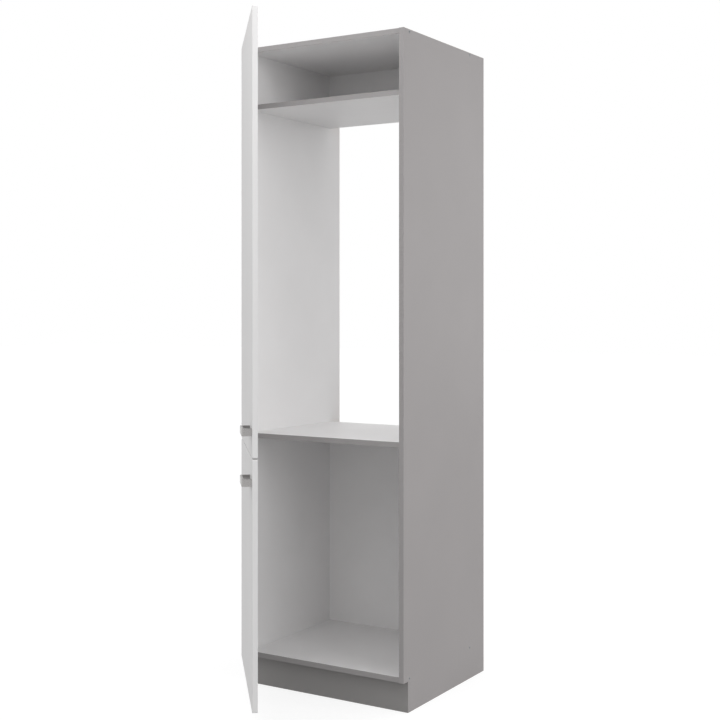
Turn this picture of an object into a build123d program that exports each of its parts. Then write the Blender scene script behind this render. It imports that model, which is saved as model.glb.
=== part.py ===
from build123d import *
from math import cos, radians, sin
import os

# Tall fridge housing cabinet: a chipboard carcass with a compartment above and
# below a fridge niche, and two overlay doors on concealed cup hinges.
# Millimetres, +Z up, +X to the right, +Y towards the wall.
# The origin is on the floor, in the middle of the plinth board's foot.

os.makedirs("parts", exist_ok=True)

# Carcass: the fridge niche takes the height that the rest leaves
cabinet_width = 600
side_depth = 560
side_height = 2100
board = 16
edge_band = 1
toe_kick_height = 96
plinth_recess = 28
lower_clear = 704
top_clear = 172
front_setback = 4
service_gap = 68
back_thickness = 3
groove_depth = 8
groove_play = 0.2

# Doors
door_thickness = 16
door_side_reveal = 2
door_top_reveal = 3
door_bottom_reveal = 4
door_split_gap = 3.5
door_front_gap = 2
door_edge_radius = 2
door_corner_radius = 3
door_open_angle = 50.4

# Handles
handle_hole_spacing = 96
handle_leg = 8
handle_bow = 7
handle_height = 22
handle_projection = 29.5
handle_outer_radius = 8.5
handle_inner_radius = 3
handle_edge_radius = 1
handle_end_inset = 9
upper_handle_rise = 75
lower_handle_drop = 68

# Drilling: a line of holes near each long edge, in steps of 32 mm
first_hole = 37
hole_pitch = 32
rear_hole = first_hole + 13 * hole_pitch

# Fasteners
screw_clearance = 0.05
hole_bottom_clearance = 0.5
confirmat_head_radius = 5
confirmat_head_height = 2.5
confirmat_collar_radius = 3.5
confirmat_core_radius = 2.5
confirmat_length = 50
confirmat_tip = 3
confirmat_collar_length = 10
hex_socket_radius = 2.3
hex_socket_depth = 3
cam_radius = 7.5
cam_depth = 12.5
cam_edge_distance = 24
cam_slot_width = 8
cam_recess_depth = 3
bolt_past_cam = 2
bolt_thread_radius = 2.5
bolt_thread_length = 11
bolt_shaft_radius = 3.5
bolt_neck_radius = 2
bolt_neck_length = 5
bolt_head_radius = 3.2
bolt_head_length = 2.5
dowel_radius = 4
dowel_length = 30
dowel_in_side = 10
dowel_chamfer = 1
cross_recess_width = 1.2
cross_recess_depth = 1
small_cross_recess = 2.8
large_cross_recess = 4
nail_radius = 0.8
nail_head_radius = 2
nail_head_thickness = 0.6
nail_length = 18
nail_tip = 1
nails_per_edge = 4
nail_end_distance = 44
bracket_leg = 28
bracket_width = 18
bracket_thickness = 1.5
bracket_end_distance = 120
short_screw_radius = 1.75
short_screw_head_radius = 3.5
short_screw_head_height = 1.6
short_screw_length = 13
short_screw_tip = 2
handle_screw_radius = 2
handle_screw_head_radius = 4
handle_screw_grip = 8

# Concealed hinge, seen from above with the door closed: pivots are given from
# the cabinet's left outer face (x) and from its front plane (y)
hinge_end_distance = 100
upper_hinge_count = 3
lower_hinge_count = 2
side_link_arm_pivot = (43.9, 4.1)
side_link_cup_pivot = (10, -3.8)
centre_link_arm_pivot = (35.4, -6.9)
centre_link_cup_pivot = (12, -5.8)
side_link_turn = 0.5
centre_link_turn = 0.72
open_pivot_slack = 1.15
side_link_cup_bend = (2.3, -4)
side_link_arm_bend = (-12.9, -2.7)
centre_link_bend = (6, -4.1)
link_wall = 1
lug_radius = 2
arm_neck_offset = (0, 10)
arm_nose_radius = 2.2
cup_radius = 17.5
cup_wall = 1.2
cup_depth = 11.5
cup_floor = 1.5
cup_edge_distance = 3
cup_flange_radius = 18.3
cup_flange_thickness = 1.2
cup_screw_spacing = 45
cup_screw_offset = 9.5
cup_ear_radius = 6.5
trough_width = 13.6
lug_gap = 6
link_sheet = 1.5
layer_gap = 0.4
centre_link_width = 5
pin_radius = 1
arm_pin_radius = 1.3
pin_clearance = 0.06
side_link_half = 1.9
centre_link_half = 1.5
plate_thickness = 2.5
plate_wing_radius = 6
plate_rail_width = 5.4
plate_rail_height = 6
plate_rail_front = 20
plate_rail_rear = 31
plate_rear = 43
arm_top = 27
arm_heel_top = 20.5
arm_flat_rear = 31
arm_rear = 40
arm_sheet = 1.5
arm_screw_radius = 2
arm_screw_head_radius = 3.4
arm_screw_head_height = 1.4
arm_screw_depth = 26
arm_screw_tip_gap = 1
plate_screw_radius = 2.5
plate_screw_head_radius = 3.6
plate_screw_length = 13
plate_screw_tip = 1

# Levels, from the floor
bottom_under = toe_kick_height
bottom_top = bottom_under + board
middle_under = bottom_top + lower_clear
middle_top = middle_under + board
top_under = side_height - board
upper_top = top_under - top_clear
upper_under = upper_top - board

# Widths and depths
inner_width = cabinet_width - 2 * board
back_front = side_depth - service_gap
shelf_depth = back_front - front_setback
left_x = -cabinet_width / 2
front_y = -(plinth_recess + board / 2)
plinth_middle = plinth_recess + board / 2


def plan(height):
    """Horizontal plane; x runs from the left outer face, y from the front plane."""
    return Plane(origin=(left_x, front_y, height))


def upright(x):
    """Vertical plane facing +X, x from the left outer face; its own x is the depth."""
    return Plane(origin=(left_x + x, front_y, 0), x_dir=(0, 1, 0), z_dir=(1, 0, 0))


def facing(x, y, z, direction):
    """Plane at a point of the carcass, facing the given direction."""
    return Plane(origin=(left_x + x, front_y + y, z), z_dir=direction)


def turned(profile, extra=0):
    """Solid of revolution about +Z from (radius, height) points, grown by extra."""
    top, bottom = profile[0][1], profile[-1][1]
    outline = [(0, top)] + [(radius + extra, height) for radius, height in profile]
    outline[-1] = (outline[-1][0], bottom - 2 * extra)
    outline.append((0, bottom - 2 * extra))
    with BuildPart() as body:
        with BuildSketch(Plane.XZ):
            with BuildLine():
                Polyline(*outline, close=True)
            make_face()
        revolve(axis=Axis.Z)
    return body.part


def crossed(profile, length):
    """Screw turned from a profile, with a cross recess in its head."""
    with BuildPart() as screw:
        add(turned(profile))
        with BuildSketch(Plane.XY.offset(profile[0][1])):
            Rectangle(length, cross_recess_width)
            Rectangle(cross_recess_width, length)
        extrude(amount=-cross_recess_depth, mode=Mode.SUBTRACT)
    return screw.part


def save(piece, label):
    piece.part.label = label
    export_step(piece.part, f"parts/{label}.step")


# Turned fasteners: each profile starts at the head, on the surface it sits in
confirmat_profile = [
    (confirmat_head_radius, 0),
    (confirmat_collar_radius, -confirmat_head_height),
    (confirmat_collar_radius, -confirmat_collar_length),
    (confirmat_core_radius, -confirmat_collar_length),
    (confirmat_core_radius, confirmat_tip - confirmat_length),
    (confirmat_core_radius / 2, -confirmat_length),
]
dowel_profile = [
    (dowel_radius - dowel_chamfer, 0),
    (dowel_radius, -dowel_chamfer),
    (dowel_radius, dowel_chamfer - dowel_length),
    (dowel_radius - dowel_chamfer, -dowel_length),
]
bolt_reach = cam_edge_distance + bolt_past_cam
bolt_profile = [
    (bolt_head_radius, bolt_reach),
    (bolt_head_radius, bolt_reach - bolt_head_length),
    (bolt_neck_radius, bolt_reach - bolt_head_length),
    (bolt_neck_radius, bolt_reach - bolt_head_length - bolt_neck_length),
    (bolt_shaft_radius, bolt_reach - bolt_head_length - bolt_neck_length),
    (bolt_shaft_radius, 0),
    (bolt_thread_radius, 0),
    (bolt_thread_radius, -bolt_thread_length),
]
nail_profile = [
    (nail_head_radius, nail_head_thickness),
    (nail_head_radius, 0),
    (nail_radius, 0),
    (nail_radius, nail_tip - nail_length),
    (nail_radius / 4, -nail_length),
]
short_screw_profile = [
    (short_screw_head_radius * 0.6, short_screw_head_height),
    (short_screw_head_radius, short_screw_head_height * 0.4),
    (short_screw_head_radius, 0),
    (short_screw_radius, 0),
    (short_screw_radius, short_screw_tip - short_screw_length),
    (short_screw_radius / 4, -short_screw_length),
]
plate_screw_profile = [
    (plate_screw_head_radius, 0),
    (plate_screw_radius, plate_screw_radius - plate_screw_head_radius),
    (plate_screw_radius, plate_screw_tip - plate_screw_length),
    (plate_screw_radius - plate_screw_tip, -plate_screw_length),
]
handle_screw_length = door_thickness + handle_screw_grip
handle_screw_profile = [
    (handle_screw_head_radius, 0),
    (handle_screw_radius, handle_screw_radius - handle_screw_head_radius),
    (handle_screw_radius, -handle_screw_length),
]

# Confirmat screws: two into each end of the top and the bottom panel
confirmat_levels = (bottom_under + board / 2, top_under + board / 2)
confirmat_spots = [(y, z) for z in confirmat_levels for y in (first_hole, rear_hole)]
confirmat_hole = turned(confirmat_profile, screw_clearance)
confirmat_body = turned(confirmat_profile)
with BuildPart() as confirmat:
    add(confirmat_body)
    with BuildSketch():
        RegularPolygon(hex_socket_radius, 6)
    extrude(amount=-hex_socket_depth, mode=Mode.SUBTRACT)


def confirmat_planes(x, direction):
    return [facing(x, y, z, direction) for y, z in confirmat_spots]


# Shelf fittings: a cam and its bolt, and a dowel, at front and back of each end
cam_depths = (first_hole + hole_pitch, rear_hole - hole_pitch)
dowel_depths = (first_hole + 2 * hole_pitch, rear_hole - 2 * hole_pitch)
fitted_levels = (middle_under + board / 2, upper_under + board / 2)
bolt_hole = turned(
    [
        (bolt_shaft_radius, bolt_reach),
        (bolt_shaft_radius, 0),
        (bolt_thread_radius, 0),
        (bolt_thread_radius, -bolt_thread_length),
    ],
    screw_clearance,
)
bolt_body = turned(bolt_profile)
dowel_hole = turned(dowel_profile, screw_clearance)
dowel_body = turned(dowel_profile)


def inner_face_planes(spots, right):
    """Planes on a side's inner face, pointing into the cabinet."""
    x = cabinet_width - board if right else board
    return [facing(x, y, z, (-1 if right else 1, 0, 0)) for y, z in spots]


def dowel_planes(spots, right):
    """Planes at a dowel's inner end, so that it runs dowel_in_side into the side."""
    reach = dowel_length - dowel_in_side
    x = cabinet_width - board - reach if right else board + reach
    return [facing(x, y, z, (-1 if right else 1, 0, 0)) for y, z in spots]


bolt_spots = [(y, z) for z in fitted_levels for y in cam_depths]
plinth_dowel_spots = [
    (plinth_middle, toe_kick_height / 4),
    (plinth_middle, toe_kick_height * 3 / 4),
]
dowel_spots = [(y, z) for z in fitted_levels for y in dowel_depths] + plinth_dowel_spots

# Door levels and the heights of the hinges
upper_door_top = side_height - door_top_reveal
split_level = middle_under
upper_door_bottom = split_level + door_split_gap / 2
lower_door_top = split_level - door_split_gap / 2
lower_door_bottom = toe_kick_height + door_bottom_reveal


def hinge_levels(bottom, top, count):
    low, high = bottom + hinge_end_distance, top - hinge_end_distance
    return [low + (high - low) * i / (count - 1) for i in range(count)]


upper_levels = hinge_levels(upper_door_bottom, upper_door_top, upper_hinge_count)
lower_levels = hinge_levels(lower_door_bottom, lower_door_top, lower_hinge_count)


def plate_screw_spots(levels):
    return [(first_hole, level + side * hole_pitch / 2) for level in levels for side in (-1, 1)]


plate_screw_hole = turned(plate_screw_profile, screw_clearance)
plate_screw_body = crossed(plate_screw_profile, large_cross_recess)


def plate_screw_planes(spots):
    return [facing(board + plate_thickness, y, z, (1, 0, 0)) for y, z in spots]


# Side panels: run to the floor, notched for the plinth, grooved for the backs
groove_front = back_front - groove_play / 2
groove_width = back_thickness + groove_play
groove_spans = ((bottom_under, middle_top), (upper_under, side_height))


def side_panel(right):
    x = cabinet_width - board if right else 0
    groove_x = x if right else x + board - groove_depth
    outer_x = cabinet_width if right else 0
    outward = (1 if right else -1, 0, 0)
    with BuildPart() as panel:
        with BuildSketch(upright(x)):
            with BuildLine():
                Polyline(
                    (edge_band, toe_kick_height),
                    (plinth_recess, toe_kick_height),
                    (plinth_recess, 0),
                    (side_depth, 0),
                    (side_depth, side_height),
                    (edge_band, side_height),
                    close=True,
                )
            make_face()
        extrude(amount=board)
        for low, high in groove_spans:
            with BuildSketch(upright(groove_x)):
                with Locations((groove_front + groove_width / 2, (low + high) / 2)):
                    Rectangle(groove_width, high - low + groove_play)
            extrude(amount=groove_depth, mode=Mode.SUBTRACT)
        with Locations(*confirmat_planes(outer_x, outward)):
            add(confirmat_hole, mode=Mode.SUBTRACT)
        with Locations(*inner_face_planes(bolt_spots, right)):
            add(bolt_hole, mode=Mode.SUBTRACT)
        with Locations(*dowel_planes(dowel_spots, right)):
            add(dowel_hole, mode=Mode.SUBTRACT)
        if not right:
            with Locations(*plate_screw_planes(plate_screw_spots(upper_levels + lower_levels))):
                add(plate_screw_hole, mode=Mode.SUBTRACT)
    return panel


for name, right in (("side_panel_left", False), ("side_panel_right", True)):
    save(side_panel(right), name)

# Front edge bands of the sides, from the notch up
for name, x in (("edge_band_left", 0), ("edge_band_right", cabinet_width - board)):
    with BuildPart() as side_band:
        with BuildSketch(plan(toe_kick_height)):
            with Locations((x + board / 2, edge_band / 2)):
                Rectangle(board, edge_band)
        extrude(amount=side_height - toe_kick_height)
    save(side_band, name)


# Panels between the sides
def cross_panel(low, fitted, cams_on_top=False):
    """Horizontal panel; a fitted one is bored for cams, bolts and dowels."""
    middle = low + board / 2
    length = shelf_depth - edge_band
    with BuildPart() as panel:
        with BuildSketch(plan(low)):
            with Locations((cabinet_width / 2, back_front - length / 2)):
                Rectangle(inner_width, length)
        extrude(amount=board)
        if fitted:
            bolts = [(y, middle) for y in cam_depths]
            dowels = [(y, middle) for y in dowel_depths]
            for right in (False, True):
                with Locations(*inner_face_planes(bolts, right)):
                    add(bolt_hole, mode=Mode.SUBTRACT)
                with Locations(*dowel_planes(dowels, right)):
                    add(dowel_hole, mode=Mode.SUBTRACT)
            with BuildSketch(plan(low + board if cams_on_top else low)):
                with Locations(*cam_spots):
                    Circle(cam_radius + screw_clearance)
            extrude(amount=-cam_depth if cams_on_top else cam_depth, mode=Mode.SUBTRACT)
        else:
            for x, direction in ((0, (-1, 0, 0)), (cabinet_width, (1, 0, 0))):
                with Locations(*confirmat_planes(x, direction)):
                    add(confirmat_hole, mode=Mode.SUBTRACT)
        with Locations(*nail_planes):
            add(nail_hole, mode=Mode.SUBTRACT)
        if low == bottom_under:
            with Locations(*bracket_screw_planes_up):
                add(short_screw_hole, mode=Mode.SUBTRACT)
    return panel


cam_spots = [
    (x, y)
    for x in (board + cam_edge_distance, cabinet_width - board - cam_edge_distance)
    for y in cam_depths
]

# Nails through the backs into the rear edges of the four horizontal panels
nail_step = (inner_width - 2 * nail_end_distance) / (nails_per_edge - 1)
nail_levels = [low + board / 2 for low in (bottom_under, middle_under, upper_under, top_under)]
nail_planes = [
    facing(board + nail_end_distance + i * nail_step, back_front + back_thickness, z, (0, 1, 0))
    for z in nail_levels
    for i in range(nails_per_edge)
]
nail_hole = turned(nail_profile, screw_clearance)
nail_body = turned(nail_profile)

# Steel angle brackets hold the plinth board up against the bottom panel
bracket_centres = (board + bracket_end_distance, cabinet_width - board - bracket_end_distance)
plinth_rear = plinth_recess + board
bracket_hole_distance = bracket_thickness + (bracket_leg - bracket_thickness) * 0.55
bracket_screw_planes_up = [
    facing(x, plinth_rear + bracket_hole_distance, bottom_under - bracket_thickness, (0, 0, -1))
    for x in bracket_centres
]
bracket_screw_planes_front = [
    facing(x, plinth_rear + bracket_thickness, bottom_under - bracket_hole_distance, (0, 1, 0))
    for x in bracket_centres
]
short_screw_hole = turned(short_screw_profile, screw_clearance)
short_screw_body = crossed(short_screw_profile, small_cross_recess)

bottom_panel = cross_panel(bottom_under, fitted=False)
middle_shelf = cross_panel(middle_under, fitted=True)
upper_shelf = cross_panel(upper_under, fitted=True, cams_on_top=True)
top_panel = cross_panel(top_under, fitted=False)
save(bottom_panel, "bottom_panel")
save(middle_shelf, "middle_shelf")
save(upper_shelf, "upper_shelf")
save(top_panel, "top_panel")

# Front edge bands of the four horizontal panels
with BuildPart() as shelf_edge_bands:
    for low in (bottom_under, middle_under, upper_under, top_under):
        with BuildSketch(plan(low)):
            with Locations((cabinet_width / 2, front_setback + edge_band / 2)):
                Rectangle(inner_width, edge_band)
        extrude(amount=board)
save(shelf_edge_bands, "shelf_edge_bands")

# Plinth board
with BuildPart() as plinth_board:
    with BuildSketch(plan(0)):
        with Locations((cabinet_width / 2, plinth_middle)):
            Rectangle(inner_width, board)
    extrude(amount=toe_kick_height)
    for right in (False, True):
        with Locations(*dowel_planes(plinth_dowel_spots, right)):
            add(dowel_hole, mode=Mode.SUBTRACT)
    with Locations(*bracket_screw_planes_front):
        add(short_screw_hole, mode=Mode.SUBTRACT)
save(plinth_board, "plinth_board")

with BuildPart() as plinth_brackets:
    for x in bracket_centres:
        with BuildSketch(upright(x - bracket_width / 2)):
            with BuildLine():
                Polyline(
                    (plinth_rear, bottom_under),
                    (plinth_rear, bottom_under - bracket_leg),
                    (plinth_rear + bracket_thickness, bottom_under - bracket_leg),
                    (plinth_rear + bracket_thickness, bottom_under - bracket_thickness),
                    (plinth_rear + bracket_leg, bottom_under - bracket_thickness),
                    (plinth_rear + bracket_leg, bottom_under),
                    close=True,
                )
            make_face()
        extrude(amount=bracket_width)
    with Locations(*bracket_screw_planes_up, *bracket_screw_planes_front):
        add(short_screw_hole, mode=Mode.SUBTRACT)
save(plinth_brackets, "plinth_brackets")

with BuildPart() as plinth_bracket_screws:
    with Locations(*bracket_screw_planes_up, *bracket_screw_planes_front):
        add(short_screw_body)
save(plinth_bracket_screws, "plinth_bracket_screws")

# Backs: thin hardboard, let into the grooves and nailed behind the panels
back_width = inner_width + 2 * (groove_depth - groove_play)
for name, (low, high) in zip(("lower_back_panel", "upper_back_panel"), groove_spans):
    with BuildPart() as back_panel:
        with BuildSketch(plan(low)):
            with Locations((cabinet_width / 2, back_front + back_thickness / 2)):
                Rectangle(back_width, back_thickness)
        extrude(amount=high - low)
        with Locations(*nail_planes):
            add(nail_hole, mode=Mode.SUBTRACT)
    save(back_panel, name)

with BuildPart() as back_nails:
    with Locations(*nail_planes):
        add(nail_body)
save(back_nails, "back_nails")

# Confirmat screws, one group for each side
for name, x, direction in (
    ("side_screws_left", 0, (-1, 0, 0)),
    ("side_screws_right", cabinet_width, (1, 0, 0)),
):
    with BuildPart() as side_screws:
        with Locations(*confirmat_planes(x, direction)):
            add(confirmat.part)
    save(side_screws, name)

# Cam fittings and dowels
with BuildPart() as cam:
    with BuildSketch():
        Circle(cam_radius)
    extrude(amount=-cam_depth)
    with BuildSketch():
        Rectangle(cam_radius, cross_recess_width)
        Rectangle(cross_recess_width, cam_radius)
    extrude(amount=-cam_recess_depth, mode=Mode.SUBTRACT)
    bolt_axis = -board / 2
    with BuildSketch(Plane.XY.offset(bolt_axis - cam_slot_width / 2)):
        with Locations((-cam_radius / 2, 0)):
            Rectangle(2 * cam_radius, cam_slot_width)
    extrude(amount=cam_slot_width, mode=Mode.SUBTRACT)


def cam_planes(level, up):
    """The cam's slot opens towards the nearer end of the shelf."""
    planes = []
    for x, y in cam_spots:
        outward = -1 if x < cabinet_width / 2 else 1
        origin = (left_x + x, front_y + y, level)
        planes.append(Plane(origin=origin, x_dir=(-outward, 0, 0), z_dir=(0, 0, 1 if up else -1)))
    return planes


with BuildPart() as shelf_cams:
    with Locations(*cam_planes(upper_top, True), *cam_planes(middle_under, False)):
        add(cam.part)
save(shelf_cams, "shelf_cams")

with BuildPart() as shelf_cam_bolts:
    for right in (False, True):
        with Locations(*inner_face_planes(bolt_spots, right)):
            add(bolt_body)
save(shelf_cam_bolts, "shelf_cam_bolts")

for name, spots in (
    ("shelf_dowels", [spot for spot in dowel_spots if spot not in plinth_dowel_spots]),
    ("plinth_dowels", plinth_dowel_spots),
):
    with BuildPart() as dowels:
        for right in (False, True):
            with Locations(*dowel_planes(spots, right)):
                add(dowel_body)
    save(dowels, name)


# Moving bodies: each is drawn as with the door closed, on a plane that carries
# it to the open rest pose about its pivot
def about(pivot, angle):
    """Function giving a horizontal plane turned about a pivot, as seen from above."""
    c, s = cos(radians(angle)), sin(radians(angle))
    px, py = pivot
    x = px - c * px + s * py
    y = py - s * px - c * py

    def at(height):
        return Plane(origin=(left_x + x, front_y + y, height), x_dir=(c, s, 0))

    return at


def turned_point(point, pivot, angle):
    c, s = cos(radians(angle)), sin(radians(angle))
    dx, dy = point[0] - pivot[0], point[1] - pivot[1]
    return (pivot[0] + c * dx - s * dy, pivot[1] + s * dx + c * dy)


side_link_angle = side_link_turn * door_open_angle
centre_link_angle = centre_link_turn * door_open_angle
side_link_plane = about(side_link_arm_pivot, side_link_angle)
centre_link_plane = about(centre_link_arm_pivot, centre_link_angle)

# The door turns clockwise about the cup pivot, which the side links carry along
carried = turned_point(side_link_cup_pivot, side_link_arm_pivot, side_link_angle)
door_origin = turned_point((0, 0), side_link_cup_pivot, -door_open_angle)
door_shift = (carried[0] - side_link_cup_pivot[0], carried[1] - side_link_cup_pivot[1])
door_x_dir = (cos(radians(door_open_angle)), -sin(radians(door_open_angle)), 0)


def door_plane(height):
    x = left_x + door_origin[0] + door_shift[0]
    y = front_y + door_origin[1] + door_shift[1]
    return Plane(origin=(x, y, height), x_dir=door_x_dir)


def door_facing(x, y, height, outward):
    """Plane on a door, square to it: outward is 1 for its front, -1 for its inside."""
    base = door_plane(height)
    origin = base.from_local_coords(Vector(x, y, 0))
    return Plane(origin=origin, x_dir=base.x_dir * outward, z_dir=base.y_dir * -outward)


door_width = cabinet_width - 2 * door_side_reveal
door_inside = -door_front_gap
door_outside = door_inside - door_thickness
door_free_edge = door_side_reveal + door_width
cup_x = door_side_reveal + cup_edge_distance + cup_radius
cup_seat = door_inside + cup_flange_thickness
cup_screw_x = cup_x + cup_screw_offset
handle_length = handle_hole_spacing + handle_leg
handle_x = door_free_edge - handle_end_inset - handle_length / 2
handle_hole_xs = (handle_x - handle_hole_spacing / 2, handle_x + handle_hole_spacing / 2)

# Layers of the hinge, counted from its middle plane
centre_layer = centre_link_width / 2
inner_layer = lug_gap / 2
inner_layer_top = inner_layer + link_sheet
outer_layer = inner_layer_top + layer_gap
outer_layer_top = outer_layer + link_sheet
pin_reach = trough_width / 2 + link_sheet


def layers(plane, levels, low):
    """Planes of two equal layers, one above and one below the middle of each hinge."""
    above = [plane(level + low) for level in levels]
    below = [plane(level - low - link_sheet) for level in levels]
    return above + below


def bar(points, half_width):
    """Flat bar along straight runs, round at its ends and corners."""
    for start, end in zip(points, points[1:]):
        middle = ((start[0] + end[0]) / 2, (start[1] + end[1]) / 2)
        SlotCenterPoint(middle, end, 2 * half_width)


def offset_point(point, dx, dy):
    return (point[0] + dx, point[1] + dy)


side_link_path = [
    side_link_cup_pivot,
    offset_point(side_link_cup_pivot, *side_link_cup_bend),
    offset_point(side_link_arm_pivot, *side_link_arm_bend),
    side_link_arm_pivot,
]
centre_link_path = [
    centre_link_cup_pivot,
    offset_point(centre_link_cup_pivot, *centre_link_bend),
    centre_link_arm_pivot,
]
open_eye_radius = pin_radius + open_pivot_slack
plate_top = board + plate_thickness
arm_neck = offset_point(centre_link_arm_pivot, *arm_neck_offset)
arm_screw_profile = [
    (arm_screw_head_radius, arm_screw_head_height),
    (arm_screw_head_radius, 0),
    (arm_screw_radius, 0),
    (arm_screw_radius, board + arm_screw_tip_gap - arm_top),
]
arm_screw_hole = turned(arm_screw_profile, screw_clearance)
arm_screw_body = crossed(arm_screw_profile, large_cross_recess)
cup_screw_hole = turned(short_screw_profile, screw_clearance)
handle_screw_hole = turned(handle_screw_profile, screw_clearance)
handle_screw_body = crossed(handle_screw_profile, large_cross_recess)
door_normal = Axis((0, 0, 0), door_plane(0).y_dir)


def cup_screw_planes(levels):
    return [
        door_facing(cup_screw_x, cup_seat, level + side * cup_screw_spacing / 2, -1)
        for level in levels
        for side in (-1, 1)
    ]


def arm_screw_planes(levels):
    return [facing(arm_top, arm_screw_depth, level, (1, 0, 0)) for level in levels]


def handle_screw_planes(level):
    return [door_facing(x, door_inside, level, -1) for x in handle_hole_xs]


def door_panel(bottom, top, levels, handle_level):
    """Door leaf with soft front edges, bored for its hinge cups and its handle."""
    with BuildPart() as panel:
        with BuildSketch(door_plane(bottom)):
            with Locations(((door_side_reveal + door_free_edge) / 2, (door_inside + door_outside) / 2)):
                Rectangle(door_width, door_thickness)
        extrude(amount=top - bottom)
        fillet(panel.edges().filter_by(door_normal), door_corner_radius)
        fillet(panel.faces().sort_by(door_normal)[0].edges(), door_edge_radius)
        with BuildSketch(*[door_facing(cup_x, door_inside, level, -1) for level in levels]):
            Circle(cup_radius + screw_clearance)
        extrude(amount=-cup_depth - hole_bottom_clearance, mode=Mode.SUBTRACT)
        with Locations(*cup_screw_planes(levels)):
            add(cup_screw_hole, mode=Mode.SUBTRACT)
        with Locations(*handle_screw_planes(handle_level)):
            add(handle_screw_hole, mode=Mode.SUBTRACT)
    return panel


def bow_handle(level):
    """Solid bow handle, round at its outer corners, drilled for its screws."""
    with BuildPart() as handle:
        with BuildSketch(door_plane(level - handle_height / 2)) as outline:
            with Locations((handle_x, door_outside - handle_projection / 2)):
                Rectangle(handle_length, handle_projection)
            with Locations((handle_x, door_outside - (handle_projection - handle_bow) / 2)):
                Rectangle(
                    handle_length - 2 * handle_leg,
                    handle_projection - handle_bow,
                    mode=Mode.SUBTRACT,
                )
            fillet(outline.vertices().group_by(Axis.Y)[0], handle_outer_radius)
            fillet(outline.vertices().group_by(Axis.Y)[2], handle_inner_radius)
        extrude(amount=handle_height)
        fillet(handle.faces().filter_by(Axis.Z).edges(), handle_edge_radius)
        with Locations(*handle_screw_planes(level)):
            add(handle_screw_hole, mode=Mode.SUBTRACT)
    return handle


def hinge_cups(levels):
    """Die-cast cups with a screw flange, a trough for the links and two lugs."""
    seats = [door_facing(cup_x, door_inside, level, -1) for level in levels]
    with BuildPart() as cups:
        with BuildSketch(*seats):
            Circle(cup_radius)
        extrude(amount=-cup_depth)
        with BuildSketch(*seats):
            Circle(cup_flange_radius)
            with Locations((-cup_screw_offset, 0)):
                SlotCenterToCenter(cup_screw_spacing, 2 * cup_ear_radius, rotation=90)
        extrude(amount=cup_flange_thickness)
        with BuildSketch(*[seat.offset(cup_flange_thickness) for seat in seats]):
            Circle(cup_radius - cup_wall)
            Rectangle(2 * cup_radius, trough_width, mode=Mode.INTERSECT)
        extrude(amount=cup_floor - cup_depth - cup_flange_thickness, mode=Mode.SUBTRACT)
        with BuildSketch(*layers(door_plane, levels, inner_layer)):
            with Locations(centre_link_cup_pivot):
                Circle(lug_radius)
            lug_foot = door_inside - cup_depth + cup_floor
            with Locations((centre_link_cup_pivot[0], (centre_link_cup_pivot[1] + lug_foot) / 2)):
                Rectangle(2 * lug_radius, centre_link_cup_pivot[1] - lug_foot)
        extrude(amount=link_sheet)
        with BuildSketch(*[door_plane(level - inner_layer_top) for level in levels]):
            with Locations(centre_link_cup_pivot):
                Circle(pin_radius + pin_clearance)
        extrude(amount=2 * inner_layer_top, mode=Mode.SUBTRACT)
        with BuildSketch(*[door_plane(level - pin_reach) for level in levels]):
            with Locations(side_link_cup_pivot):
                Circle(pin_radius + pin_clearance)
        extrude(amount=2 * pin_reach, mode=Mode.SUBTRACT)
        with Locations(*cup_screw_planes(levels)):
            add(cup_screw_hole, mode=Mode.SUBTRACT)
    return cups


def cup_pins(levels):
    """Stub pins of the side links and through pins of the centre links."""
    stub = pin_reach - outer_layer
    with BuildPart() as pins:
        stub_starts = [door_plane(level + low) for level in levels for low in (outer_layer, -pin_reach)]
        with BuildSketch(*stub_starts):
            with Locations(side_link_cup_pivot):
                Circle(pin_radius)
        extrude(amount=stub)
        with BuildSketch(*[door_plane(level - inner_layer_top) for level in levels]):
            with Locations(centre_link_cup_pivot):
                Circle(pin_radius)
        extrude(amount=2 * inner_layer_top)
    return pins


def arm_pins(levels):
    """Pins in the nose of each arm, one for each kind of link."""
    with BuildPart() as pins:
        for pivot, reach in (
            (side_link_arm_pivot, outer_layer_top),
            (centre_link_arm_pivot, inner_layer_top),
        ):
            with BuildSketch(*[plan(level - reach) for level in levels]):
                with Locations(pivot):
                    Circle(arm_pin_radius)
            extrude(amount=2 * reach)
    return pins


def side_links(levels):
    """Cranked outer links, one each side of the arm."""
    with BuildPart() as links:
        with BuildSketch(*layers(side_link_plane, levels, outer_layer)):
            bar(side_link_path, side_link_half)
            with Locations(side_link_arm_pivot):
                Circle(arm_pin_radius + link_sheet)
                Circle(arm_pin_radius + pin_clearance, mode=Mode.SUBTRACT)
            with Locations(side_link_cup_pivot):
                Circle(pin_radius + pin_clearance, mode=Mode.SUBTRACT)
        extrude(amount=link_sheet)
    return links


def centre_links(levels):
    """Cranked middle links; the eye at the cup is wide, for the opened pivot."""
    with BuildPart() as links:
        with BuildSketch(*[centre_link_plane(level - centre_layer) for level in levels]):
            bar(centre_link_path, centre_link_half)
            with Locations(centre_link_arm_pivot):
                Circle(arm_pin_radius + link_wall)
                Circle(arm_pin_radius + pin_clearance, mode=Mode.SUBTRACT)
            with Locations(centre_link_cup_pivot):
                Circle(open_eye_radius + link_wall)
                Circle(open_eye_radius, mode=Mode.SUBTRACT)
        extrude(amount=centre_link_width)
    return links


# The arm from above, on its plate: flat under its screw, sloping down to the heel
arm_outline = [
    (plate_top, plate_rail_front),
    (arm_top, plate_rail_front),
    (arm_top, arm_flat_rear),
    (arm_heel_top, arm_rear),
    (plate_top, arm_rear),
]


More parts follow.
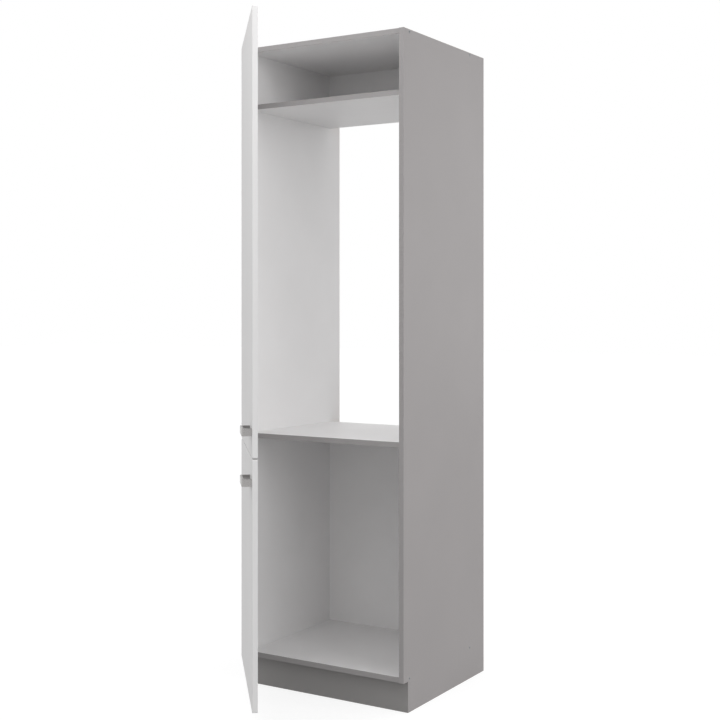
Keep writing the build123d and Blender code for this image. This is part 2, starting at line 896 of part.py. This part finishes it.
def hinge_arms(levels):
    """Folded steel arms: a channel over the plate's rail, and two cheeks for the pivots."""
    arm_middle = (plate_top + arm_top) / 2
    open_length = arm_rear - arm_sheet - plate_rail_front
    with BuildPart() as arms:
        with BuildSketch(*layers(plan, levels, inner_layer)):
            with Locations(arm_neck):
                Circle(arm_nose_radius)
            with Locations(side_link_arm_pivot):
                Circle(arm_pin_radius + link_sheet)
            with Locations((arm_middle, plate_rail_front)):
                Rectangle(arm_top - plate_top, link_sheet)
            make_hull()
            bar([centre_link_arm_pivot, arm_neck], arm_nose_radius)
            with Locations(side_link_arm_pivot, centre_link_arm_pivot):
                Circle(arm_pin_radius + pin_clearance, mode=Mode.SUBTRACT)
        extrude(amount=link_sheet)
        with BuildSketch(*[plan(level - inner_layer_top) for level in levels]):
            Polygon(*arm_outline, align=None)
        extrude(amount=2 * inner_layer_top)
        with BuildSketch(*[plan(level - inner_layer) for level in levels]):
            Polygon(*arm_outline, align=None)
            offset(amount=-arm_sheet, kind=Kind.INTERSECTION, mode=Mode.REPLACE)
            with Locations((plate_top + arm_sheet / 2, plate_rail_front + open_length / 2)):
                Rectangle(2 * arm_sheet, open_length)
            with Locations(((plate_top + arm_top - arm_sheet) / 2, plate_rail_front)):
                Rectangle(arm_top - arm_sheet - plate_top, 4 * arm_sheet)
        extrude(amount=2 * inner_layer, mode=Mode.SUBTRACT)
        with Locations(*arm_screw_planes(levels)):
            add(arm_screw_hole, mode=Mode.SUBTRACT)
    return arms


def mounting_plates(levels):
    """Plates screwed to the left side, each with a rail that carries an arm."""
    spots = [(first_hole, level) for level in levels]
    rails = [((plate_rail_front + plate_rail_rear) / 2, level) for level in levels]
    feet = [((plate_rail_front + plate_rear) / 2, level) for level in levels]
    with BuildPart() as plates:
        with BuildSketch(upright(board)):
            with Locations(*spots):
                SlotCenterToCenter(hole_pitch, 2 * plate_wing_radius, rotation=90)
            with Locations(*feet):
                Rectangle(plate_rear - plate_rail_front, 2 * plate_wing_radius)
        extrude(amount=plate_thickness)
        with BuildSketch(upright(board)):
            with Locations(*rails):
                Rectangle(plate_rail_rear - plate_rail_front, plate_rail_width)
        extrude(amount=plate_thickness + plate_rail_height)
        with Locations(*plate_screw_planes(plate_screw_spots(levels))):
            add(plate_screw_hole, mode=Mode.SUBTRACT)
        with Locations(*arm_screw_planes(levels)):
            add(arm_screw_hole, mode=Mode.SUBTRACT)
    return plates


def group(body, planes):
    with BuildPart() as copies:
        with Locations(*planes):
            add(body)
    return copies


doors = (
    ("upper", upper_door_bottom, upper_door_top, upper_levels, split_level + upper_handle_rise),
    ("lower", lower_door_bottom, lower_door_top, lower_levels, split_level - lower_handle_drop),
)
for name, bottom, top, levels, handle_level in doors:
    save(door_panel(bottom, top, levels, handle_level), f"{name}_door")
    save(bow_handle(handle_level), f"{name}_handle")
    save(group(handle_screw_body, handle_screw_planes(handle_level)), f"{name}_handle_screws")
    save(hinge_cups(levels), f"{name}_hinge_cups")
    save(cup_pins(levels), f"{name}_hinge_cup_pins")
    save(group(short_screw_body, cup_screw_planes(levels)), f"{name}_hinge_cup_screws")
    save(side_links(levels), f"{name}_hinge_side_links")
    save(centre_links(levels), f"{name}_hinge_centre_links")
    save(hinge_arms(levels), f"{name}_hinge_arms")
    save(arm_pins(levels), f"{name}_hinge_arm_pins")
    save(group(arm_screw_body, arm_screw_planes(levels)), f"{name}_hinge_arm_screws")
    save(mounting_plates(levels), f"{name}_hinge_plates")
    plate_planes = plate_screw_planes(plate_screw_spots(levels))
    save(group(plate_screw_body, plate_planes), f"{name}_hinge_plate_screws")
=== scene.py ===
# %% [markdown]
# A tall kitchen cabinet for a built-in fridge, with two gloss doors standing open.
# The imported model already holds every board, hinge and screw at its real size and place,
# so this lesson is about finishes: what melamine-faced board, edging, gloss fronts and
# plated steel look like, and the plain studio that lets them show.

# %% Load the model
import math
import bpy
import bmesh
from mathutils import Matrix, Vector


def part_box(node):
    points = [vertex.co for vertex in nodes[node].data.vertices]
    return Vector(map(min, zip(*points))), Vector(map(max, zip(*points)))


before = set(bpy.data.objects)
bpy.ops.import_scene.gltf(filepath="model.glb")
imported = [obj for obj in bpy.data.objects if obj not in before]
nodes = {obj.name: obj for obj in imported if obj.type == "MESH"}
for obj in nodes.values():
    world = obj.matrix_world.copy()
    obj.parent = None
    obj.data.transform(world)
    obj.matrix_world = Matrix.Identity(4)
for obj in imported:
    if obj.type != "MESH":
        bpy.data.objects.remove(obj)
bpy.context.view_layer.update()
print("pieces in the model:", len(nodes))

# %% [markdown]
# The photograph was taken from the front right, with the lens 1.24 m above the floor. All
# upright edges are parallel in it, so the camera looks level and the frame is shifted, as
# with a view camera. Place, turn and focal length were fitted to the cabinet's corners. The
# level point is the pixel of the photograph that the lens looks at straight on.

# %% Camera
camera_place = Vector((2.1644, -3.3585, 1.236))
camera_turn = 0.56066
focal_length = 62.395
sensor_width = 36
image_width = 720
level_point = (342.0, 310.25)

lens = bpy.data.cameras.new("camera")
lens.lens = focal_length
lens.sensor_width = sensor_width
lens.shift_x = 0.5 - level_point[0] / image_width
lens.shift_y = level_point[1] / image_width - 0.5
camera = bpy.data.objects.new("camera", lens)
camera.location = camera_place
camera.rotation_euler = (math.pi / 2, 0, camera_turn)
bpy.context.scene.collection.objects.link(camera)
bpy.context.scene.camera = camera
print("camera shift:", round(lens.shift_x, 4), round(lens.shift_y, 4))

# %% [markdown]
# Colours are written as a paint chart would give them, in sRGB hex, and turned to the
# linear values that the renderer works in. One helper adds a node with its settings and
# its links, and another starts a material from the shader's own values. A Mix node has
# sockets of the same name for each kind of data, so its colour sockets are found by number.

# %% Colour and node helpers
mix_share, mix_first, mix_second, mix_colour = 0, 6, 7, 2


def linear(hex_colour):
    """Linear RGBA of an sRGB hex colour such as #e8e8e6."""
    parts = [int(hex_colour[i:i + 2], 16) / 255 for i in (1, 3, 5)]
    flat = [part / 12.92 if part <= 0.04045 else ((part + 0.055) / 1.055) ** 2.4 for part in parts]
    return (*flat, 1)


def add_node(material, kind, settings=None, sockets=None):
    """Adds a node. A socket is given a plain value, or another node's output to link."""
    made = material.node_tree.nodes.new(kind)
    for name, value in (settings or {}).items():
        setattr(made, name, value)
    for name, value in (sockets or {}).items():
        if isinstance(value, bpy.types.NodeSocket):
            material.node_tree.links.new(value, made.inputs[name])
        else:
            made.inputs[name].default_value = value
    return made


def start_material(name, values):
    """A new material, its shader and the place on the piece, in metres."""
    material = bpy.data.materials.new(name)
    material.use_nodes = True
    shader = material.node_tree.nodes["Principled BSDF"]
    for socket, value in values.items():
        shader.inputs[socket].default_value = value
    place = add_node(material, "ShaderNodeTexCoord").outputs["Object"]
    return material, shader, place


def per_metre(millimetres):
    """Pattern scale for grains of this size."""
    return 1000 / millimetres


def metres(millimetres):
    """Depth of a relief, as a Bump node takes it."""
    return millimetres / 1000


def link(material, output, socket):
    """Leads a node's output to a socket, in place of the socket's own value."""
    material.node_tree.links.new(output, socket)


def wear(material, *piece_names):
    """Gives a material to pieces of the model."""
    for piece_name in piece_names:
        for slot in nodes[piece_name].material_slots:
            slot.material = material
    print(material.name, "on", len(piece_names), "pieces")


print("mid grey #808080 in linear light:", round(linear("#808080")[0], 3))

# %% [markdown]
# Melamine-faced chipboard is a board of pressed wood chips with printed paper, soaked in
# resin, pressed on both faces against an etched steel plate. The plate leaves fine pearls,
# so the face has a soft sheen that breaks up, never a mirror, and the paper has faint
# clouds. A picture of the paper would need a file and repeat itself, so noise is used: one
# of the pearls' size drives both the sheen and a very shallow bump, and a wide one moves the
# colour a little. Real pearls are well under a millimetre, and are drawn about three times
# as coarse so that they show close up. Noise keeps mostly to the middle of its range, so
# that middle is what gets stretched.

# %% Pearls and clouds
pearl_size = 1.4
pearl_depth = 0.03
pearl_strength = 0.35
pearl_sheen = (0.4, 0.55)
cloud_size = 260
cloud_spread = 0.02
noise_low, noise_high = 0.3, 0.7


def pearled_sheen(material, shader, place):
    """Sheen that varies a little over the board. Gives back the pearls that it follows."""
    pearls = add_node(material, "ShaderNodeTexNoise", {}, {
        "Vector": place,
        "Scale": per_metre(pearl_size),
        "Detail": 2.0,
    })
    sheen = add_node(material, "ShaderNodeMapRange", {}, {
        "Value": pearls.outputs["Fac"],
        "To Min": pearl_sheen[0],
        "To Max": pearl_sheen[1],
    })
    link(material, sheen.outputs["Result"], shader.inputs["Roughness"])
    return pearls.outputs["Fac"]


def pearled_face(material, shader, place, depth=pearl_depth):
    """The sheen and the relief of the pressing plate's fine pearls."""
    bump = add_node(material, "ShaderNodeBump", {}, {
        "Height": pearled_sheen(material, shader, place),
        "Strength": pearl_strength,
        "Distance": metres(depth),
    })
    link(material, bump.outputs["Normal"], shader.inputs["Normal"])


def clouded(material, place, colour, spread=cloud_spread):
    """The colour with faint clouds, as printed paper has under the resin."""
    clouds = add_node(material, "ShaderNodeTexNoise", {}, {
        "Vector": place,
        "Scale": per_metre(cloud_size),
        "Detail": 3.0,
    })
    value = add_node(material, "ShaderNodeMapRange", {}, {
        "Value": clouds.outputs["Fac"],
        "From Min": noise_low,
        "From Max": noise_high,
        "To Min": 1 - spread,
        "To Max": 1 + spread,
    })
    tint = add_node(material, "ShaderNodeHueSaturation", {}, {
        "Value": value.outputs["Result"],
        "Color": linear(colour),
    })
    return tint.outputs["Color"]


print("pearls:", pearl_size, "mm, clouds:", cloud_size, "mm")

# %% [markdown]
# One board shows several surfaces. A side panel is grey outside and white inside, and cut
# edges that nobody sees stay bare and show the chips. Separate pieces of skin would be
# thinner than paper, so the colour follows the place on the board instead: a patch is what
# lies beyond one or more planes, and a face's plane sits a skin's depth inside the piece.

# %% Patches of a board
chip_size = 2.6
chip_light, chip_dark = "#c9ac80", "#8d6c45"
skin = 0.0002
left, right = Vector((-1, 0, 0)), Vector((1, 0, 0))
front, back = Vector((0, -1, 0)), Vector((0, 1, 0))
down, up = Vector((0, 0, -1)), Vector((0, 0, 1))


def bare_chips(material, place):
    """Colour of a cut edge: pale chips in darker dust."""
    chips = add_node(material, "ShaderNodeTexVoronoi", {}, {
        "Vector": place,
        "Scale": per_metre(chip_size),
    })
    brown = add_node(material, "ShaderNodeMix", {"data_type": "RGBA"}, {
        mix_share: chips.outputs["Distance"],
        mix_first: linear(chip_light),
        mix_second: linear(chip_dark),
    })
    return brown.outputs[mix_colour]


def beyond(material, place, direction, distance):
    """1 where the piece reaches past a distance along a direction, otherwise 0."""
    along = add_node(material, "ShaderNodeVectorMath", {"operation": "DOT_PRODUCT"}, {
        0: place,
        1: direction,
    })
    past = add_node(material, "ShaderNodeMath", {"operation": "GREATER_THAN"}, {
        0: along.outputs["Value"],
        1: distance,
    })
    return past.outputs["Value"]


def far_side(piece_name, direction):
    """How far a piece reaches along one of the main directions, less its skin."""
    low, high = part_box(piece_name)
    return max(low.dot(direction), high.dot(direction)) - skin


print("inner face of the left side panel at x =", round(far_side("side_panel_left", right), 4))

# %% [markdown]
# The carcass is grey outside and on all front edges, and white inside, like the photograph.
# The shelves run between the sides, so only their rear edges are bare. The sides also have
# bare top and foot edges, but the small notch at their front foot is closed in the
# plinth's darker grey. Resin is a plastic with a usual IOR of 1.5, and its gloss is held
# back because the real face is matt.

# %% Melamine-faced boards
carcass_grey = "#a5a1a1"
carcass_white = "#f1f0f0"
plinth_grey = "#959392"
board_values = {"IOR": 1.5, "Specular IOR Level": 0.3}


def melamine_board(name, colour, patches=()):
    """Board with one colour all round and patches of other colours.
    A patch is its colour, or None for bare chips, and the planes that it lies beyond."""
    material, shader, place = start_material(name, board_values)
    pearled_face(material, shader, place)
    face = clouded(material, place, colour)
    for patch_colour, planes in patches:
        share = 1.0
        for direction, distance in planes:
            share = add_node(material, "ShaderNodeMath", {"operation": "MULTIPLY"}, {
                0: beyond(material, place, direction, distance),
                1: share,
            }).outputs["Value"]
        paint = clouded(material, place, patch_colour) if patch_colour else bare_chips(material, place)
        face = add_node(material, "ShaderNodeMix", {"data_type": "RGBA"}, {
            mix_share: share,
            mix_first: face,
            mix_second: paint,
        }).outputs[mix_colour]
    link(material, face, shader.inputs["Base Color"])
    return material


plinth_low, plinth_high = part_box("plinth_board")
notch = [(front, -plinth_low.y - skin), (down, -plinth_high.z)]

for side_name, inward in (("side_panel_left", right), ("side_panel_right", left)):
    patches = [(carcass_white, [(inward, far_side(side_name, inward))]), (plinth_grey, notch)]
    for way in (back, up, down):
        patches.append((None, [(way, far_side(side_name, way))]))
    wear(melamine_board("melamine_" + side_name, carcass_grey, patches), side_name)

for shelf_name in ("bottom_panel", "middle_shelf", "upper_shelf", "top_panel"):
    patches = [(None, [(back, far_side(shelf_name, back))])]
    wear(melamine_board("melamine_" + shelf_name, carcass_white, patches), shelf_name)

wear(melamine_board("melamine_plinth", plinth_grey), "plinth_board")

# %% [markdown]
# The backs are hardboard, wood fibres pressed wet between a polished plate and a wire
# screen. The side that shows is lacquered white and smooth. The rear stays brown, mottled
# by its fibres, and keeps the print of the screen. Real dimples would cost a face or more
# each, so a grid of cells draws them as a bump on the rear alone. The brown starts two skins
# deep, so the panel's edges show a line of it.

# %% Hardboard backs
hardboard_white = "#f1f0f0"
hardboard_brown, hardboard_fibre = "#8d6d4e", "#775a3d"
fibre_size = 5
screen_spacing = 1.8
screen_depth = 0.25
for back_name in ("lower_back_panel", "upper_back_panel"):
    material, shader, place = start_material("lacquered_" + back_name, board_values)
    pearled_sheen(material, shader, place)
    on_rear = beyond(material, place, back, far_side(back_name, back) - skin)
    fibres = add_node(material, "ShaderNodeTexNoise", {}, {
        "Vector": place,
        "Scale": per_metre(fibre_size),
        "Detail": 4.0,
    })
    brown = add_node(material, "ShaderNodeMix", {"data_type": "RGBA"}, {
        mix_share: fibres.outputs["Fac"],
        mix_first: linear(hardboard_brown),
        mix_second: linear(hardboard_fibre),
    })
    face = add_node(material, "ShaderNodeMix", {"data_type": "RGBA"}, {
        mix_share: on_rear,
        mix_first: clouded(material, place, hardboard_white),
        mix_second: brown.outputs[mix_colour],
    })
    link(material, face.outputs[mix_colour], shader.inputs["Base Color"])
    screen = add_node(material, "ShaderNodeTexVoronoi", {}, {
        "Vector": place,
        "Scale": per_metre(screen_spacing),
        "Randomness": 0.0,
    })
    dimples = add_node(material, "ShaderNodeBump", {}, {
        "Height": screen.outputs["Distance"],
        "Strength": on_rear,
        "Distance": metres(screen_depth),
    })
    link(material, dimples.outputs["Normal"], shader.inputs["Normal"])
    wear(material, back_name)

# %% [markdown]
# Edges that show are covered with a strip of ABS, an extruded plastic, glued on hot and
# scraped flush. The strips are pieces of the model, so they need no patch. They are dyed
# through and as matt as the board's face, but rolled instead of pressed, so they take the
# face's pearls at half their depth.

# %% Edge bands
band_grey = "#a3a0a0"
band_spread = 0.015
material, shader, place = start_material("abs_edge_band", board_values)
link(material, clouded(material, place, band_grey, band_spread), shader.inputs["Base Color"])
pearled_face(material, shader, place, pearl_depth / 2)
wear(material, "edge_band_left", "edge_band_right", "shelf_edge_bands")

# %% [markdown]
# The doors are fibreboard with a gloss white lacquer that wraps over the edges, and a plain
# white back. Polished lacquer mirrors the room in a clear coat, with a slight waviness that
# only shows where a reflection bends. A smoother shader could do the same, but the coat
# keeps the white paint under it at full strength. The photograph shows little of the room
# in the fronts, so the coat is weak. The doors stand open in the model, so the back is told
# from the front by how far it lies along the open door's own way inwards.

# %% Gloss doors
door_white = "#ebeaea"
door_spread = 0.01
lacquer_share = 0.14
lacquer_roughness = 0.04
front_roughness, back_roughness = 0.12, 0.45
door_open = math.radians(50.4)
door_inward = Vector((math.sin(door_open), math.cos(door_open), 0))
wave_size = 45
wave_depth = 0.04
for door_name in ("upper_door", "lower_door"):
    material, shader, place = start_material("gloss_" + door_name, {
        "IOR": 1.5,
        "Specular IOR Level": 0.0,
        "Coat Roughness": lacquer_roughness,
    })
    reach = max(vertex.co.dot(door_inward) for vertex in nodes[door_name].data.vertices)
    on_back = beyond(material, place, door_inward, reach - skin)
    link(material, clouded(material, place, door_white, door_spread), shader.inputs["Base Color"])
    sheen = add_node(material, "ShaderNodeMapRange", {}, {
        "Value": on_back,
        "To Min": front_roughness,
        "To Max": back_roughness,
    })
    link(material, sheen.outputs["Result"], shader.inputs["Roughness"])
    lacquer = add_node(material, "ShaderNodeMapRange", {}, {
        "Value": on_back,
        "To Min": lacquer_share,
        "To Max": 0.0,
    })
    link(material, lacquer.outputs["Result"], shader.inputs["Coat Weight"])
    waves = add_node(material, "ShaderNodeTexNoise", {}, {
        "Vector": place,
        "Scale": per_metre(wave_size),
        "Detail": 1.0,
    })
    bump = add_node(material, "ShaderNodeBump", {}, {
        "Height": waves.outputs["Fac"],
        "Strength": 1.0,
        "Distance": metres(wave_depth),
    })
    link(material, bump.outputs["Normal"], shader.inputs["Normal"])
    wear(material, door_name)

# %% [markdown]
# Metal parts come from several works, and differ in colour, roughness and grain, so one
# helper makes them all. Its grain drives the sheen and a fine bump, and is drawn out along
# the level ways where a part is brushed. Real grain is finer than a tenth of a millimetre
# and would vanish even close up, so it is drawn several times as coarse. Metals keep the
# shader's own IOR.

# %% A plated or cast metal
sheen_spread = 0.06
grain_strength = 0.5
plating_spread = 0.03
even_grain, brushed_level = (1, 1, 1), (0.05, 0.05, 1)


def metal(name, colour, roughness, grain_size, grain_depth, stretch=even_grain):
    """A metal with grain of a real size and depth in millimetres."""
    material, shader, place = start_material(name, {"Metallic": 1.0})
    mapped = add_node(material, "ShaderNodeMapping", {}, {"Vector": place, "Scale": stretch})
    grain = add_node(material, "ShaderNodeTexNoise", {}, {
        "Vector": mapped.outputs["Vector"],
        "Scale": per_metre(grain_size),
        "Detail": 2.0,
    })
    sheen = add_node(material, "ShaderNodeMapRange", {}, {
        "Value": grain.outputs["Fac"],
        "From Min": noise_low,
        "From Max": noise_high,
        "To Min": roughness - sheen_spread,
        "To Max": roughness + sheen_spread,
    })
    bump = add_node(material, "ShaderNodeBump", {}, {
        "Height": grain.outputs["Fac"],
        "Strength": grain_strength,
        "Distance": metres(grain_depth),
    })
    link(material, clouded(material, place, colour, plating_spread), shader.inputs["Base Color"])
    link(material, sheen.outputs["Result"], shader.inputs["Roughness"])
    link(material, bump.outputs["Normal"], shader.inputs["Normal"])
    print("made", name)
    return material


# %% [markdown]
# Hinge links, arms and cups are pressed from steel sheet and nickel-plated, so they are
# bright and smooth. Screws, nails and brackets are zinc-plated, a little bluish and matt.
# Cams and mounting plates are cast in a zinc alloy and stay grainy. The handles are brushed
# along their length, then nickel-plated, which gives a soft satin.

# %% Metals
nickel_plate = metal("bright_nickel_plate", "#d6d2c9", roughness=0.22, grain_size=1.2, grain_depth=0.01)
zinc_plate = metal("zinc_plate", "#9a9c9e", roughness=0.45, grain_size=0.6, grain_depth=0.02)
cast_zinc = metal("cast_zinc", "#b2b2b0", roughness=0.48, grain_size=0.8, grain_depth=0.04)
satin_nickel = metal(
    "brushed_nickel_plate", "#a7a5a4", roughness=0.3, grain_size=0.5, grain_depth=0.01,
    stretch=brushed_level,
)

wear(cast_zinc, "shelf_cams", "upper_hinge_plates", "lower_hinge_plates")
wear(
    zinc_plate,
    "plinth_brackets", "plinth_bracket_screws", "back_nails", "side_screws_left",
    "side_screws_right", "shelf_cam_bolts",
)
for door in ("upper", "lower"):
    wear(satin_nickel, door + "_handle")
    wear(
        nickel_plate,
        door + "_hinge_cups", door + "_hinge_arms", door + "_hinge_side_links",
        door + "_hinge_centre_links",
    )
    wear(
        zinc_plate,
        door + "_handle_screws", door + "_hinge_cup_pins", door + "_hinge_cup_screws",
        door + "_hinge_arm_pins", door + "_hinge_arm_screws", door + "_hinge_plate_screws",
    )

# %% [markdown]
# Dowels are turned beech, pale and slightly pink, with short fine pores along the grain.
# Year rings could be drawn too, but a dowel is so thin that only its pores show, so a noise
# that is drawn out along the dowels' length lays the darker pores into the pale wood.

# %% Beech dowels
beech_light, beech_dark = "#d2a878", "#b98a5c"
beech_roughness = 0.6
pore_size = 1.2
pore_stretch = (0.1, 1, 1)
material, shader, place = start_material("beech_dowel", {"IOR": 1.5, "Roughness": beech_roughness})
mapped = add_node(material, "ShaderNodeMapping", {}, {"Vector": place, "Scale": pore_stretch})
pores = add_node(material, "ShaderNodeTexNoise", {}, {
    "Vector": mapped.outputs["Vector"],
    "Scale": per_metre(pore_size),
    "Detail": 4.0,
})
beech = add_node(material, "ShaderNodeMix", {"data_type": "RGBA"}, {
    mix_share: pores.outputs["Fac"],
    mix_first: linear(beech_light),
    mix_second: linear(beech_dark),
})
link(material, beech.outputs[mix_colour], shader.inputs["Base Color"])
wear(material, "shelf_dowels", "plinth_dowels")

# %% [markdown]
# The floor is one large flat sheet, wide enough that its edge lies far behind the cabinet
# in every view, where a curved backdrop would show its bend from one side or another. It is
# stage, not part of the cabinet.

# %% Floor
floor_size = 60
floor_mesh = bpy.data.meshes.new("floor")
shape = bmesh.new()
bmesh.ops.create_grid(shape, x_segments=1, y_segments=1, size=floor_size / 2)
shape.to_mesh(floor_mesh)
shape.free()
floor = bpy.data.objects.new("floor", floor_mesh)
bpy.context.scene.collection.objects.link(floor)
print("floor:", floor_size, "m")

# %% [markdown]
# The photograph has a plain white background, and more light on the floor would bleach the
# cabinet too. So the floor glows up to white for the camera and in reflections, and only a
# share of what they see is lit paint, so that a faint shadow still grounds the cabinet. To
# all other rays it is a mid grey, so it lights the cabinet from below only a little.

# %% Floor paint
floor_shadow_share = 0.3
floor_glow = 1.12
floor_bounce = "#a0a0a0"
floor_seen = "#fafafa"
floor_roughness = 0.9
full_white = linear("#ffffff")
material, shader, place = start_material("pale_floor", {
    "Roughness": floor_roughness,
    "Specular IOR Level": 0.0,
})
rays = add_node(material, "ShaderNodeLightPath")
mirrored = add_node(material, "ShaderNodeMath", {"operation": "MAXIMUM"}, {
    0: rays.outputs["Is Glossy Ray"],
    1: rays.outputs["Is Transmission Ray"],
})
white = add_node(material, "ShaderNodeMath", {"operation": "MAXIMUM"}, {
    0: rays.outputs["Is Camera Ray"],
    1: mirrored.outputs["Value"],
})
paint = add_node(material, "ShaderNodeMix", {"data_type": "RGBA"}, {
    mix_share: white.outputs["Value"],
    mix_first: linear(floor_bounce),
    mix_second: linear(floor_seen),
})
link(material, paint.outputs[mix_colour], shader.inputs["Base Color"])
glow = add_node(material, "ShaderNodeEmission", {}, {"Color": full_white, "Strength": floor_glow})
seen = add_node(material, "ShaderNodeMath", {"operation": "MULTIPLY"}, {
    0: white.outputs["Value"],
    1: 1 - floor_shadow_share,
})
mixed = add_node(material, "ShaderNodeMixShader", {}, {
    "Fac": seen.outputs["Value"],
    1: shader.outputs["BSDF"],
    2: glow.outputs["Emission"],
})
surface = material.node_tree.nodes["Material Output"].inputs["Surface"]
link(material, mixed.outputs["Shader"], surface)
floor_mesh.materials.append(material)
print("share of the floor's light that shadows can take:", floor_shadow_share)

# %% [markdown]
# Reflections see a white room, greyer overhead and behind the place where the photograph
# was taken, so that bright metal has some contrast. The greys are blended in by how far a
# ray points each way, and they belong to the room, so they stay where they are in any view.

# %% Room for reflections
room_behind_camera = "#c4c4c4"
room_ceiling = "#a0a0a0"
blend_start, blend_end = 0.45, 0.85
world = bpy.data.worlds.new("sky")
bpy.context.scene.world = world
world.use_nodes = True
ray_direction = add_node(world, "ShaderNodeTexCoord").outputs["Generated"]
towards_camera = Vector((camera_place.x, camera_place.y, 0)).normalized()
room = full_white
for direction, colour in ((towards_camera, room_behind_camera), (up, room_ceiling)):
    along = add_node(world, "ShaderNodeVectorMath", {"operation": "DOT_PRODUCT"}, {
        0: ray_direction,
        1: direction,
    })
    share = add_node(world, "ShaderNodeMapRange", {"interpolation_type": "SMOOTHSTEP"}, {
        "Value": along.outputs["Value"],
        "From Min": blend_start,
        "From Max": blend_end,
    })
    room = add_node(world, "ShaderNodeMix", {"data_type": "RGBA"}, {
        mix_share: share.outputs["Result"],
        mix_first: room,
        mix_second: linear(colour),
    }).outputs[mix_colour]
print("room:", room_behind_camera, "behind the camera,", room_ceiling, "overhead")

# %% [markdown]
# The sky is an even white room for the camera. Its light on the cabinet is a little weaker
# than what the camera sees, which leaves room for the lamps.

# %% Sky
sky_light = 0.868
rays = add_node(world, "ShaderNodeLightPath")
mirrored = add_node(world, "ShaderNodeMath", {"operation": "MAXIMUM"}, {
    0: rays.outputs["Is Glossy Ray"],
    1: rays.outputs["Is Transmission Ray"],
})
seen_colour = add_node(world, "ShaderNodeMix", {"data_type": "RGBA"}, {
    mix_share: mirrored.outputs["Value"],
    mix_first: full_white,
    mix_second: room,
})
white = add_node(world, "ShaderNodeMath", {"operation": "MAXIMUM"}, {
    0: rays.outputs["Is Camera Ray"],
    1: mirrored.outputs["Value"],
})
strength = add_node(world, "ShaderNodeMapRange", {}, {
    "Value": white.outputs["Value"],
    "To Min": sky_light,
    "To Max": 1.0,
})
background = world.node_tree.nodes["Background"]
link(world, seen_colour.outputs[mix_colour], background.inputs["Color"])
link(world, strength.outputs["Result"], background.inputs["Strength"])
print("sky light:", sky_light)

# %% [markdown]
# Four soft square lamps shape the boards. The one at the front hangs close above the doors,
# so the top compartment gets more of it than the lower one, as in the photograph. Two on
# the right brighten the side, and the one behind shines through the open niche. Places and
# sizes are in metres, power in watts.

# %% Lamps
def add_lamp(name, place, aim, size, power):
    """A square soft lamp that looks from its place at a point."""
    lamp_data = bpy.data.lights.new(name, "AREA")
    lamp_data.size = size
    lamp_data.energy = power
    lamp = bpy.data.objects.new(name, lamp_data)
    lamp.location = place
    lamp.rotation_euler = (Vector(aim) - Vector(place)).to_track_quat("-Z", "Y").to_euler()
    bpy.context.scene.collection.objects.link(lamp)
    print(name, power, "W")


add_lamp("front_lamp", place=(0.2, -1.5, 3.0), aim=(0, 0, 1.9), size=1.0, power=10.2)
add_lamp("right_lamp", place=(4.0, -1.0, 1.4), aim=(0, 0.2, 1.0), size=2.5, power=17)
add_lamp("high_right_lamp", place=(3.2, -1.2, 2.9), aim=(0, 0.2, 1.4), size=2.0, power=12)
add_lamp("back_lamp", place=(1.4, 2.6, 1.6), aim=(-0.2, 0.1, 1.4), size=1.6, power=6.5)

# %% [markdown]
# The picture is shown as the renderer works it out, with no film look.

# %% Finish
bpy.context.scene.view_settings.view_transform = "Standard"
